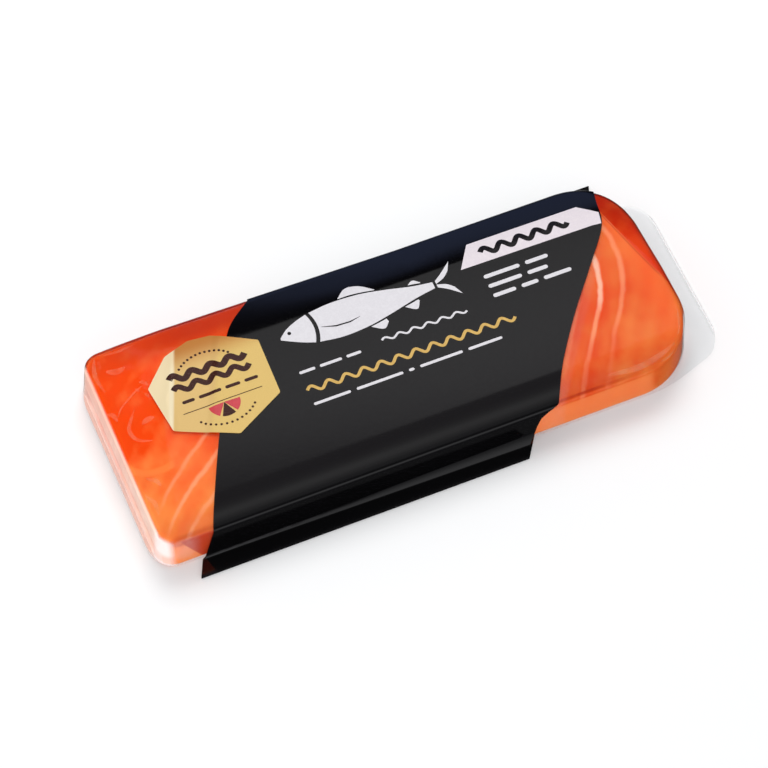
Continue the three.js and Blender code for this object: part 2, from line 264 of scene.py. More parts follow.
def curve_through(points, steps):
    """Smooth curve through the points (centripetal Catmull-Rom), as in the CAD source."""
    p = np.asarray(points, float)
    p = np.vstack([2 * p[0] - p[1], p, 2 * p[-1] - p[-2]])
    out = []
    for i in range(1, len(p) - 2):
        p0, p1, p2, p3 = p[i - 1 : i + 3]
        t1 = np.sqrt(np.linalg.norm(p1 - p0))
        t2 = t1 + np.sqrt(np.linalg.norm(p2 - p1))
        t3 = t2 + np.sqrt(np.linalg.norm(p3 - p2))
        for t in np.linspace(t1, t2, steps, endpoint=False):
            a1 = lerp(p0, p1, t / t1)
            a2 = lerp(p1, p2, (t - t1) / (t2 - t1))
            a3 = lerp(p2, p3, (t - t2) / (t3 - t2))
            b1 = lerp(a1, a2, t / t2)
            b2 = lerp(a2, a3, (t - t1) / (t3 - t1))
            out.append(lerp(b1, b2, (t - t1) / (t2 - t1)))
    out.append(p[-2])
    return np.array(out)


# ---------------------------------------------------------------- materials
class Field:
    """A number, colour or place worked out by nodes, open to plain arithmetic."""

    def __init__(self, nodes, socket):
        self.nodes = nodes
        self.socket = socket

    def __add__(self, other):
        return self.nodes.math("ADD", self, other)

    def __sub__(self, other):
        return self.nodes.math("SUBTRACT", self, other)

    def __rsub__(self, other):
        return self.nodes.math("SUBTRACT", other, self)

    def __mul__(self, other):
        return self.nodes.math("MULTIPLY", self, other)

    def __truediv__(self, other):
        return self.nodes.math("DIVIDE", self, other)

    def __pow__(self, other):
        return self.nodes.math("POWER", self, other)

    def __abs__(self):
        return self.nodes.math("ABSOLUTE", self)

    __radd__ = __add__
    __rmul__ = __mul__


class Nodes:
    """Small helper to wire the nodes of a material or of the world."""

    def __init__(self, tree):
        self.tree = tree
        tree.nodes.clear()

    def node(self, kind, inputs=None, **settings):
        node = self.tree.nodes.new(kind)
        for key, value in settings.items():
            setattr(node, key, value)
        for key, value in (inputs or {}).items():
            self.put(node.inputs[key], value)
        return node

    def first(self, kind, inputs=None):
        """First output of a new node."""
        return self.node(kind, inputs).outputs[0]

    def put(self, socket, value):
        if isinstance(value, Field):
            value = value.socket
        if isinstance(value, bpy.types.NodeSocket):
            self.tree.links.new(value, socket)
        elif isinstance(value, tuple) and len(value) == 3 and len(socket.default_value) == 4:
            socket.default_value = (*value, 1.0)
        else:
            socket.default_value = value

    def split(self, place):
        return (Field(self, part) for part in self.node("ShaderNodeSeparateXYZ", {"Vector": place}).outputs)

    def math(self, operation, a, b=0.0, clamp=False):
        node = self.node("ShaderNodeMath", {0: a, 1: b}, operation=operation, use_clamp=clamp)
        return Field(self, node.outputs[0])

    def unit(self, value):
        """The value kept between 0 and 1."""
        return self.math("ADD", value, 0.0, clamp=True)

    def most(self, value, *others):
        for other in others:
            value = self.math("MAXIMUM", value, other)
        return value

    def step(self, value, lo, hi, low=0.0, high=1.0):
        """low up to lo, high from hi on, smooth between; lo may be the larger."""
        if lo > hi:
            lo, hi, low, high = hi, lo, high, low
        inputs = {"Value": value, "From Min": lo, "From Max": hi, "To Min": low, "To Max": high}
        node = self.node("ShaderNodeMapRange", inputs, interpolation_type="SMOOTHSTEP", clamp=True)
        return Field(self, node.outputs["Result"])

    def between(self, share, a, b):
        return a + (b - a) * share

    def blend(self, share, shader, other):
        """Mixes two shaders."""
        return self.first("ShaderNodeMixShader", {0: share, 1: shader, 2: other})


class Shader(Nodes):
    """The nodes of one material, with places in millimetres."""

    def __init__(self, name):
        self.material = bpy.data.materials.new(name)
        self.material.use_nodes = True
        super().__init__(self.material.node_tree)
        self.place = self.vector("SCALE", self.node("ShaderNodeTexCoord").outputs["Object"], "Scale", 1 / MM)
        self.x, self.y, self.z = self.split(self.place)

    def vector(self, operation, place, key, value):
        return self.node("ShaderNodeVectorMath", {0: place, key: value}, operation=operation).outputs[0]

    def plane(self, ax, ay, az=0.0):
        """ax x + ay y + az z"""
        total = self.x * ax + self.y * ay
        return total + self.z * az if az else total

    def noise(self, scale, detail=2.0, rough=0.5, stretch=None):
        place = self.vector("MULTIPLY", self.place, 1, stretch) if stretch else self.place
        inputs = {"Vector": place, "Scale": scale, "Detail": detail, "Roughness": rough}
        return Field(self, self.node("ShaderNodeTexNoise", inputs).outputs["Fac"])

    def line(self, value, at, wide, narrow):
        """1 along the line where value equals at, fading to 0 at wide to either side."""
        return self.step(abs(value - at), wide, narrow)

    def mix(self, share, a, b):
        return self.node("ShaderNodeMix", {0: share, 6: a, 7: b}, data_type="RGBA").outputs[2]

    def bump(self, height, distance, strength=1.0):
        inputs = {"Height": height, "Strength": strength, "Distance": distance * MM}
        return self.first("ShaderNodeBump", inputs)

    def surface(self, shader):
        out = self.tree.nodes.new("ShaderNodeOutputMaterial")
        self.tree.links.new(shader, out.inputs["Surface"])
        return self.material

    def paint(self, colour, roughness, **more):
        """A principled surface; further inputs are named with _ for a space."""
        inputs = {"Base Color": colour, "Roughness": roughness}
        inputs.update({key.replace("_", " "): value for key, value in more.items()})
        return self.first("ShaderNodeBsdfPrincipled", inputs)


FLESH_DEEP = (0.89, 0.083, 0.004)
FLESH_LIGHT = (0.94, 0.300, 0.070)
FLESH_RIGHT_DEEP = (0.78, 0.080, 0.007)
FLESH_RIGHT_LIGHT = (0.86, 0.265, 0.056)
FLESH_RIGHT_END = (1.0, 0.22, 0.035)
FLESH_WALL = (0.96, 0.310, 0.095)
FLESH_FAT = (1.0, 0.50, 0.27)
FLESH_FAT_PALE = (1.0, 0.72, 0.58)
FLESH_SHADE = (0.53, 0.036, 0.009)
FLESH_SLOPE_SHADE = (0.74, 0.040, 0.004)
FLESH_SLOPE_BACK_SHADE = (0.50, 0.022, 0.003)
FLESH_CREASE_SHADE = (0.50, 0.030, 0.004)
FAT_EVERY = 9.6


def flesh_material():
    s = Shader("salmon_flesh_mat")
    wobble = (s.noise(0.05) - 0.5) * 4.0
    shift = wobble + (s.noise(0.35) - 0.5) * 0.9
    # right part: lines run from the back right to the front, bending upright at the back
    right = s.plane(1.0, -0.64) + s.most(s.y + 10.0, 0.0) ** 2.0 * 0.0141 + shift
    # left part: lines run along the fish and turn down to the front left
    left = s.plane(-0.68, 1.0) - 56.4 + s.most(-92.0 - s.x, 0.0) ** 2.0 * 0.012 + shift
    patchy = s.step(s.noise(0.07, 1.0), 0.25, 0.65, 0.65, 1.0)
    on_right = s.step(s.x, 20.0, 40.0)
    on_left = s.step(s.x, -60.0, -75.0) * s.step(s.x, -113.5, -105.0)
    lines = s.line(right, 82.6, 1.7, 0.3) * s.step(s.y, -36.0, -8.0, 0.3, 1.0)
    for at, wide, low, share in ((92.4, 1.7, 0.2, 0.55), (72.9, 1.9, 0.25, 0.3)):
        lines += s.line(right, at, wide, 0.2) * s.step(s.y, -38.0, -14.0, low, 1.0) * share
    lines *= on_right
    for at, share in ((-6.4, 0.5), (-15.8, 0.72), (-26.4, 0.6)):
        lines += s.line(left, at, 1.6, 0.2) * on_left * share
    lines = s.unit(lines * patchy * s.step(s.z, 9.0, 17.0, 0.25, 1.0))
    # paler meat at the right end and the front left, in soft clouds and bands along the lines
    bands = s.math("SINE", s.between(on_right, left, right) * (2 * math.pi / FAT_EVERY))
    cloud = s.step(s.noise(0.055, 3.0), 0.32, 0.70)
    fibre = s.noise(0.55, 3.0, 0.6, stretch=(1.0, 0.45, 1.0))
    front_left = s.step(s.plane(-0.2, 1.0), 20.0, 2.0) * s.step(s.x, -40.0, -70.0)
    forward = s.step(s.plane(0.4, 1.0), -40.0, -72.0, 0.5, 0.9)
    base = s.between(on_right, front_left * forward, s.step(right, 84.0, 100.0, 0.28, 0.50))
    base = s.most(base, s.step(s.x, -96.0, -104.0) * s.step(s.y, -2.0, -10.0) * 0.5)
    cloud = s.unit(base + (cloud - 0.5) * 0.5 + bands * 0.10 + (fibre - 0.5) * 0.35)
    # a pale ring round the hollow at the left end: painted highlight and milky film of the fold there
    ring_y = (s.y - 3.0 + wobble * 0.4) * 0.87
    ring_r = s.math("SQRT", (s.x + 104.0) ** 2.0 + ring_y ** 2.0)
    ring = s.line(ring_r, 14.6, 3.2, 0.6) * s.step(s.y, 6.0, -3.0) * s.step(s.x, -94.0, -101.0)
    cloud = s.most(cloud, ring * 0.85)
    on_left_colour = s.mix(cloud, FLESH_DEEP, FLESH_LIGHT)
    colour = s.mix(on_right, on_left_colour, s.mix(cloud, FLESH_RIGHT_DEEP, FLESH_RIGHT_LIGHT))
    colour = s.mix(s.step(s.x, 88.0, 102.0) * s.step(s.y, -43.0, -41.0) * 0.4, colour, FLESH_RIGHT_END)
    colour = s.mix(lines * 0.92, colour, FLESH_FAT)
    pale = s.line(right, 82.6, 1.6, 0.3) * s.step(s.y, 15.0, 8.0) * s.step(s.y, -15.0, -7.0) * on_right
    colour = s.mix(pale * 0.6, colour, FLESH_FAT_PALE)
    colour = s.mix(s.step(s.y, -43.2, -43.9) * s.step(s.z, 15.2, 13.6) * 0.75, colour, FLESH_WALL)
    # painted shade, a darker meat colour where the fish slopes away from the light: the back, the back right
    # corner, the front edge
    back = s.step(s.y, 29.0, 39.0) * s.step(s.x, -116.0, -70.0, 0.2, 0.85)
    front = s.step(s.y, -41.2, -43.0) * s.step(s.x, 20.0, -40.0, 0.0, 0.5) * s.step(s.z, 12.0, 14.0)
    # painted shade in a wedge on the front wall at the front left
    wedge_shade = s.step(s.plane(1.83, 0.0, 1.0), -183.4, -181.6) * s.step(s.y, -43.0, -43.8)
    wedge_shade *= s.step(s.x, -80.0, -90.0)
    colour = s.mix(s.most(back, front, wedge_shade * 0.9), colour, FLESH_SHADE)
    corner = s.plane(1.0, 0.27) + wobble * 0.15
    # painted shade down the back right slope, deeper towards its back
    slope_shade = s.step(corner, 101.9, 102.5) * s.step(s.y, -17.0, -9.0)
    slope_shade *= s.step(s.noise(0.12), 0.3, 0.7, 0.8, 1.0)
    colour = s.mix(slope_shade, colour, s.mix(s.step(s.y, 6.0, 30.0), FLESH_SLOPE_SHADE, FLESH_SLOPE_BACK_SHADE))
    # painted shade in the creases: the fold of the back right corner, the front edge, the front right tip
    fold_shade = s.line(corner, 101.7, 0.45, 0.1) * s.step(s.y, -12.0, -4.0) * 0.6
    broken = s.step(s.noise(0.12, stretch=(1.0, 0.3, 0.3)), 0.35, 0.6, 0.25, 0.8)
    edge = s.line(s.y, -42.8, 0.75, 0.15) * s.step(s.x, 82.0, 58.0) * s.step(s.z, 15.0, 15.6)
    edge *= on_right * broken
    tip_shade = s.step(s.plane(1.0, -0.25), 110.0, 112.5) * s.step(s.y, -19.0, -24.0) * s.step(s.z, 13.5, 15.5)
    colour = s.mix(s.most(fold_shade, edge, tip_shade * 0.55), colour, FLESH_CREASE_SHADE)
    soft = {"Subsurface_Weight": 0.2, "Subsurface_Radius": (1.0, 0.35, 0.15), "Subsurface_Scale": 0.0015}
    normal = s.bump(lines * 0.6 + fibre, 0.12, 0.3)
    return s.surface(s.paint(colour, 0.45, **soft, Specular_IOR_Level=0.08, Normal=normal))


FILM_IOR = 1.33
FLANGE_IOR = 1.10
CREASE_IOR = 1.15
FILM_CLEAR = (0.997, 0.997, 0.997)
FILM_MILK_WARM = (1.0, 0.73, 0.63)
FILM_MILK_ROSE = (1.0, 0.69, 0.57)
FILM_MILK_PALE = (1.0, 0.80, 0.69)
FILM_MILK_COOL = (0.98, 0.89, 0.88)
FILM_MILK_CLEAR = (0.92, 0.92, 0.95)
FILM_CREASE_MILK_AND_SHEEN = (1.0, 0.62, 0.40)


def film_shader(s, haze, milk_colour, ior):
    """Clear film: see-through, milky by haze, with a mirror-like face."""
    clear = s.first("ShaderNodeBsdfTransparent", {"Color": FILM_CLEAR})
    milk = s.first("ShaderNodeBsdfDiffuse", {"Color": milk_colour, "Roughness": 0.5})
    normal = s.bump(s.noise(0.25), 0.05, 0.4)
    gloss = s.first("ShaderNodeBsdfGlossy", {"Color": (1.0, 1.0, 1.0), "Normal": normal, "Roughness": 0.06})
    fresnel = s.first("ShaderNodeFresnel", {"IOR": ior, "Normal": normal})
    return s.surface(s.blend(fresnel, s.blend(haze, clear, milk), gloss))


def film_material():
    """The formed film, milky down the left wall and where it stands off the fish; the paler, hazier upper
    part of the left wall is a painted reflection over the milky film.
    """
    s = Shader("clear_film_mat")
    mottle = s.step(s.noise(0.07, stretch=(1.0, 1.0, 1.5)), 0.3, 0.7)
    flat = s.step(s.z, 2.4, 1.8)
    # the upper left wall is hazier: painted reflection over the milky film
    upper_sheen_haze = s.step(s.z, 5.5, 9.0) * s.between(mottle, 0.74, 0.88)
    wall = s.step(s.x, -114.2, -115.4) * s.step(s.z, 18.4, 17.0)
    wall *= s.most(upper_sheen_haze, s.between(mottle, 0.52, 0.74))
    corner = s.step(s.x, -109.5, -113.6) * s.step(s.y, -36.0, -38.5) * s.step(s.z, 17.4, 15.5)
    corner *= s.step(s.z, 5.0, 9.0, 0.50, 0.84)
    front = s.step(s.y, -43.2, -44.0) * s.step(s.x, -99.0, -106.0) * s.between(mottle, 0.0, 0.16)
    flange = flat * s.step(s.x, -115.0, -116.5, 0.02, 0.40)
    beside_sleeve = s.step(s.plane(1.0, -0.723) - 76.07, 4.5, 1.5)
    strip = beside_sleeve * s.step(s.x, 30.0, 44.0) * s.step(s.y, 20.0, 2.0) * 0.045
    smear = s.step(s.noise(0.045, 3.0), 0.42, 0.72) * 0.008
    haze = s.most(wall, corner, front, flange, strip, smear)
    # paler milk colour in the wall's upper part, a painted reflection
    upper_sheen = s.step(s.z, 8.5, 11.5) * s.step(s.x, -109.0, -112.0)
    cool = s.mix(s.step(s.y, 20.0, -30.0), FILM_MILK_ROSE, FILM_MILK_PALE)
    milk = s.mix(upper_sheen, FILM_MILK_WARM, cool)
    milk = s.mix(s.step(s.y, -34.0, -40.0), milk, FILM_MILK_COOL)
    milk = s.mix(flat * s.step(s.x, -116.0, -112.0), milk, FILM_MILK_CLEAR)
    # the flat flange lies wet on the film below it and mirrors less
    return film_shader(s, haze, milk, s.step(s.z, 1.8, 2.4, FLANGE_IOR, FILM_IOR))


def film_crease_material():
    """Soft creases of the film, paler than the film round them: the milky film of each fold and a painted
    highlight.
    """
    s = Shader("film_crease_mat")
    haze = s.step(s.noise(0.3), 0.3, 0.7, 0.05, 0.14)
    return film_shader(s, haze, FILM_CREASE_MILK_AND_SHEEN, CREASE_IOR)


def base_film_material():
    s = Shader("base_film_mat")
    cloud = s.step(s.noise(0.08), 0.3, 0.7, 0.015, 0.035)
    rim = s.step(abs(s.x), 117.4, 118.3)
    clear = s.first("ShaderNodeBsdfTransparent", {"Color": (0.997, 0.997, 0.998)})
    film = s.paint(s.mix(rim, (0.90, 0.90, 0.93), (0.98, 0.98, 0.98)), 0.2)
    return s.surface(s.blend(s.unit(cloud + rim * 0.3), clear, film))


CARD_BLACK = (0.0013, 0.0012, 0.0015)
CARD_GRAIN = (0.0019, 0.0018, 0.0022)
CARD_WEAR_AND_SHEEN = (0.05, 0.05, 0.052)
CARD_IOR = 1.5


def sleeve_material(name, folds):
    """Black laminated card, a little paler along the fold at the wall's foot: worn card and a painted
    highlight of the fold.
    """
    s = Shader(name)
    grain = s.noise(1.3, 3.0, 0.6)
    base = s.mix(s.step(grain, 0.35, 0.7), CARD_BLACK, CARD_GRAIN)
    if folds:
        out = abs(s.y)
        # paler line along the foot fold: wear and a painted highlight
        foot = s.step(out, 44.9, 45.2) * s.step(out, 46.2, 45.6) * s.step(s.z, 2.6, 1.9)
        broken = s.step(s.noise(0.5, 3.0, stretch=(0.5, 3.0, 3.0)), 0.3, 0.6, 0.3, 1.0)
        base = s.mix(s.unit(foot * 0.5 * broken), base, CARD_WEAR_AND_SHEEN)
    normal = s.bump(s.noise(0.6, 3.0), 0.02, 0.25)
    return s.surface(s.paint(base, s.step(grain, 0.3, 0.7, 0.08, 0.12), IOR=CARD_IOR, Normal=normal))


def ink_material(name, colour, darker):
    s = Shader(name)
    mottle = s.step(s.noise(0.8, 3.0), 0.3, 0.7)
    return s.surface(s.paint(s.mix(mottle, colour, darker), s.step(mottle, 0.0, 1.0, 0.2, 0.28)))


GOLD = (0.84, 0.59, 0.20)
GOLD_GRAIN = (0.79, 0.54, 0.17)
GOLD_ROSY = (0.82, 0.54, 0.22)
GOLD_BEND_SHADE = (0.54, 0.18, 0.022)
GOLD_PINCH_HIGHLIGHT = (1.0, 0.84, 0.53)
GOLD_GLINT = (1.0, 0.88, 0.62)
PINCH_AT = -95.0


def seal_material():
    """Rosier where it lies on the film; painted shade browner towards its back edge and a painted highlight
    left of the pinch.
    """
    s = Shader("gold_seal_mat")
    grain = s.noise(3.0, 3.0, 0.6)
    gold = s.mix(s.step(grain, 0.3, 0.7), GOLD, GOLD_GRAIN)
    gold = s.mix(s.step(s.plane(1.0, -0.48), -77.5, -79.5) * 0.6, gold, GOLD_ROSY)
    # painted shade, browner towards the back edge where the seal bends over
    gold = s.mix(s.step(s.y, 21.0, 33.0) * 0.9, gold, GOLD_BEND_SHADE)
    # painted highlight on the facet left of the pinch, and a painted glint along the pinch
    facet = s.plane(1.0, -0.39)
    gold = s.mix(s.step(facet, PINCH_AT + 1.4, PINCH_AT) * 0.85, gold, GOLD_PINCH_HIGHLIGHT)
    gold = s.mix(s.line(facet, PINCH_AT, 1.5, 0.3) * s.step(s.y, 29.0, 22.0) * 0.6, gold, GOLD_GLINT)
    return s.surface(s.paint(gold, 0.36, Metallic=0.25, Normal=s.bump(grain, 0.01, 0.3)))


# ---------------------------------------------------------------- the fish
def gentle_waves(x, y, seed):
    """Smooth unevenness of about one, from a few crossing waves."""
    rng = np.random.default_rng(seed)
    total = np.zeros(np.shape(x))
    for _ in range(7):
        angle = rng.uniform(0, math.pi)
        length = rng.uniform(18, 55)
        phase = rng.uniform(0, 2 * math.pi)
        total += np.sin(2 * math.pi * (x * math.cos(angle) + y * math.sin(angle)) / length + phase)
    return total / 3.5


def build_salmon():
    rows = dome_rows(SALMON_GROW, SALMON_GROW, COVER_Z, 9, 8, 14, 26)
    count = len(rows[0])
    points = np.concatenate(rows)
    top = smooth(points[:, 2], 12, 17)
    points[:, 2] -= 0.12 * (1 + gentle_waves(points[:, 0], points[:, 1], 3)) * top
    faces = ring_faces(len(rows), count)
    faces += cap_faces((len(rows) - 1) * count, count)
    faces += cap_faces(0, count, upwards=False)
    fish = make_piece("salmon_flesh", points, faces, flesh_material(), ["salmon_fillet"])
    fish.visible_diffuse = False


# ---------------------------------------------------------------- clear film
# Folds in the film: plan polyline, half width, height.
FILM_FOLDS = [
    ([(-84.7, 30.6), (-90.3, 17.0), (-96.4, 2.0), (-99.0, -9.0), (-100.7, -15.6)], 1.5, 0.10),
    ([(-100.7, -15.6), (-108.4, -12.8), (-113.4, -7.2), (-115.0, 0.1), (-113.6, 8.6), (-112.4, 13.8)],
     1.3, 0.14),
    ([(-105.1, 13.0), (-108.9, 7.0), (-108.7, 2.2), (-105.0, -0.7)], 0.9, 0.12),
    ([(-102.8, 8.3), (-100.3, 8.6)], 1.0, 0.12),
    ([(-96.5, 24.5), (-100.0, 22.3), (-105.5, 15.5)], 0.9, 0.12),
    ([(-96.8, 20.0), (-99.0, 17.5)], 0.9, 0.12),
    ([(-97.5, 26.5), (-99.5, 26.0)], 0.9, 0.10),
    ([(-111.4, 40.0), (-112.9, 33.4), (-111.9, 26.3)], 1.2, 0.12),
    ([(-108.3, 33.7), (-101.2, 33.2)], 1.2, 0.10),
    ([(95.4, 26.0), (96.6, 19.0), (101.3, 6.1), (104.1, -6.1), (105.4, -16.8)], 0.9, 0.10),
    ([(98.5, -35.5), (101.5, -30.0), (103.5, -22.0)], 1.0, 0.10),
    ([(92.0, -40.0), (97.5, -37.0), (101.0, -33.0)], 0.9, 0.08),
]

# Narrow creases that show as pale strokes, milky film and a painted highlight: plan line and half width.
FILM_STROKES = [
    ([(-111.3, 13.9), (-108.9, 17.0), (-105.1, 19.5), (-101.5, 21.6), (-98.2, 22.9)], 0.38),
    ([(-104.6, 14.4), (-107.1, 10.9), (-109.3, 7.2), (-108.8, 3.2), (-106.6, 0.6), (-103.0, -0.9)], 0.75),
    ([(-104.0, 7.2), (-101.5, 8.2), (-98.9, 8.4)], 1.15),
    ([(-114.6, 17.0), (-112.6, 15.6), (-112.0, 12.4)], 0.9),
    ([(-98.6, 25.0), (-97.0, 24.0), (-95.9, 22.2)], 0.8),
    ([(-100.9, 22.9), (-100.0, 21.0)], 0.55),
    ([(-98.4, 19.6), (-97.4, 17.4)], 0.6),
    ([(-110.6, 41.6), (-112.3, 37.5), (-112.9, 33.4), (-111.9, 26.3)], 0.85),
    ([(-108.4, 34.6), (-105.0, 32.9), (-101.2, 33.2)], 1.3),
    ([(-107.0, 41.8), (-101.0, 41.0), (-95.0, 41.4)], 0.5),
    ([(-113.6, -21.5), (-111.6, -26.0), (-111.8, -31.0)], 0.9),
    ([(-110.8, -15.0), (-107.8, -17.6), (-106.8, -20.6)], 0.8),
    ([(66.0, -40.2), (71.9, -41.0), (77.4, -41.4), (83.4, -40.9), (89.8, -39.4), (95.5, -37.4)], 1.1),
    ([(87.5, -42.2), (91.6, -41.4), (94.6, -39.6)], 0.3),
    ([(98.3, -34.6), (100.9, -30.0), (102.6, -24.5)], 0.5),
]


def film_relief(x, y):
    lift = np.zeros(np.shape(x))
    for line, width, height in FILM_FOLDS:
        lift += height * np.exp(-((segment_distance(x, y, line) / width) ** 2))
    return lift


def rounded(corners, steps):
    """Polygon with its corners rounded off; each corner is x, y and the reach of its rounding."""
    corners = np.asarray(corners, float)
    points = []
    for i, (x, y, reach) in enumerate(corners):
        corner = np.array([x, y])
        before = corners[i - 1, :2] - corner
        after = corners[(i + 1) % len(corners), :2] - corner
        a = corner + before / np.linalg.norm(before) * reach
        b = corner + after / np.linalg.norm(after) * reach
        for t in np.linspace(0, 1, steps + 1):
            points.append(lerp(lerp(a, corner, t), lerp(corner, b, t), t))
    return np.array(points)


FLANGE = rounded(
    [
        (-PACK_HALF_LENGTH, -FLANGE_HALF_WIDTH, 13), (TAB_SHOULDER_X, -FLANGE_HALF_WIDTH, 8),
        (TAB_CORNER[0], -TAB_CORNER[1], 5), (PACK_HALF_LENGTH, -TAB_END_Y, 3),
        (PACK_HALF_LENGTH, TAB_END_Y, 3), (TAB_CORNER[0], TAB_CORNER[1], 5),
        (TAB_SHOULDER_X, FLANGE_HALF_WIDTH, 8), (-PACK_HALF_LENGTH, FLANGE_HALF_WIDTH, 13),
    ],
    10,
)


def flange_edge(x, y, angle):
    """Where a ray out of the wall's foot meets the flange's outline."""
    dx, dy = np.cos(angle), np.sin(angle)
    best = np.full(np.shape(x), 1e9)
    for (ax, ay), (bx, by) in zip(FLANGE, np.roll(FLANGE, -1, axis=0)):
        ex, ey = bx - ax, by - ay
        cross = dx * ey - dy * ex
        ok = np.abs(cross) > 1e-9
        safe = np.where(ok, cross, 1.0)
        t = ((ax - x) * ey - (ay - y) * ex) / safe
        u = ((ax - x) * dy - (ay - y) * dx) / safe
        hit = ok & (t > 0) & (u > -1e-6) & (u < 1 + 1e-6)
        best = np.where(hit, np.minimum(best, t), best)
    best = np.where(best > 1e8, 0.05, best)
    return x + dx * best, y + dy * best


def build_film():
    rows = dome_rows(0.0, 0.0, COVER_Z + COVER + 0.3, 12, 8, 16, 28)
    count = len(rows[0])
    foot = rows[0]
    x, y, angle = foot[:, 0], foot[:, 1], foot[:, 3]
    ex, ey = flange_edge(x, y, angle)
    sheet_top = COVER_Z + COVER

    def skirt_ring(share, z):
        """Ring at a share of the way from the wall's foot to the flange's edge."""
        return np.column_stack([lerp(x, ex, share), lerp(y, ey, share), np.full(count, z), angle])

    skirt = [skirt_ring(0.02, COVER_Z), skirt_ring(1.0, COVER_Z), skirt_ring(1.0, COVER_Z + COVER * 0.5)]
    skirt += [skirt_ring(share, sheet_top) for share in (1.0, 0.8, 0.6, 0.4, 0.25, 0.12, 0.05)]
    rows = skirt + rows
    points = np.concatenate(rows)
    px, py, pz = points[:, 0], points[:, 1], points[:, 2]
    top = smooth(pz, 13.5, 17.0)
    # all folds lie beside the sleeve
    points[:, 2] += film_relief(px, py) * top
    # slight puckers down the left and right walls
    wall = smooth(pz, 2.5, 6.0) * (1 - smooth(pz, 15.0, 18.5))
    pucker = np.sin(py * 0.55) * 0.5 + np.sin(py * 1.31 + 1.0) * 0.3 + np.sin(py * 0.23 + 2.0) * 0.4
    ends = smooth(px, -112.0, -115.5) + smooth(px, 98.0, 105.0)
    points[:, 0] -= np.sign(px) * np.where(px < 0, 0.08, 0.16) * np.abs(pucker) * wall * ends
    faces = ring_faces(len(rows), count)
    faces += cap_faces((len(rows) - 1) * count, count)
    make_piece("cover_film", points, faces, film_material(), ["clear_cover"])


def build_film_strokes():
    grids = []
    for line, half in FILM_STROKES:
        centre = curve_through(line, 8)
        t = np.linspace(0, 1, len(centre))
        widths = half * (0.12 + 0.88 * np.sin(math.pi * np.clip(t, 0.02, 0.98)) ** 0.6)
        rise = 0.05 + 0.10 * (1 - np.linspace(-1, 1, 5)[:, None] ** 2)
        strip = ribbon(centre, widths, lambda x, y: top_height(x, y) + film_relief(x, y), 5)
        strip[:, :, 2] += rise
        grids.append(strip)
    prints_piece("film_creases", grids, film_crease_material())


# ---------------------------------------------------------------- sleeve
LEFT_CURVE = curve_through(BAND_LEFT_EDGE, 12)
RIGHT_CURVE = curve_through(BAND_RIGHT_EDGE, 12)
COLUMNS = 110
FOLD_FROM, FOLD_TO = -92.0, 35.0
FOLD_REACH = (0.4, 2.2)
FOLD_HEIGHT = (0.8, 4.4)


def back_line(x, inset, wall, grow):
    """y and facing angle of a ring's back side at x, round the back right corner."""
    x1 = wall["right"] - inset["right"] + grow
    y1 = wall["back"] - inset["back"] + grow
    rx = max(CORNER["back_right"] + grow - inset["right"], 1.5)
    ry = max(CORNER["back_right"] + grow - inset["back"], 1.5)
    share = np.clip((x - (x1 - rx)) / rx, 0, 0.999)
    return y1 - ry + ry * np.sqrt(1 - share**2), np.arccos(share)


def fold_share(x):
    """The slanted bend from the wall to the fin grows from the left end to the right."""
    return np.clip((x - FOLD_FROM) / (FOLD_TO - FOLD_FROM), 0, 1)


def fold_reach(x):
    return lerp(*FOLD_REACH, fold_share(x))


def fold_height(x):
    return lerp(*FOLD_HEIGHT, fold_share(x))


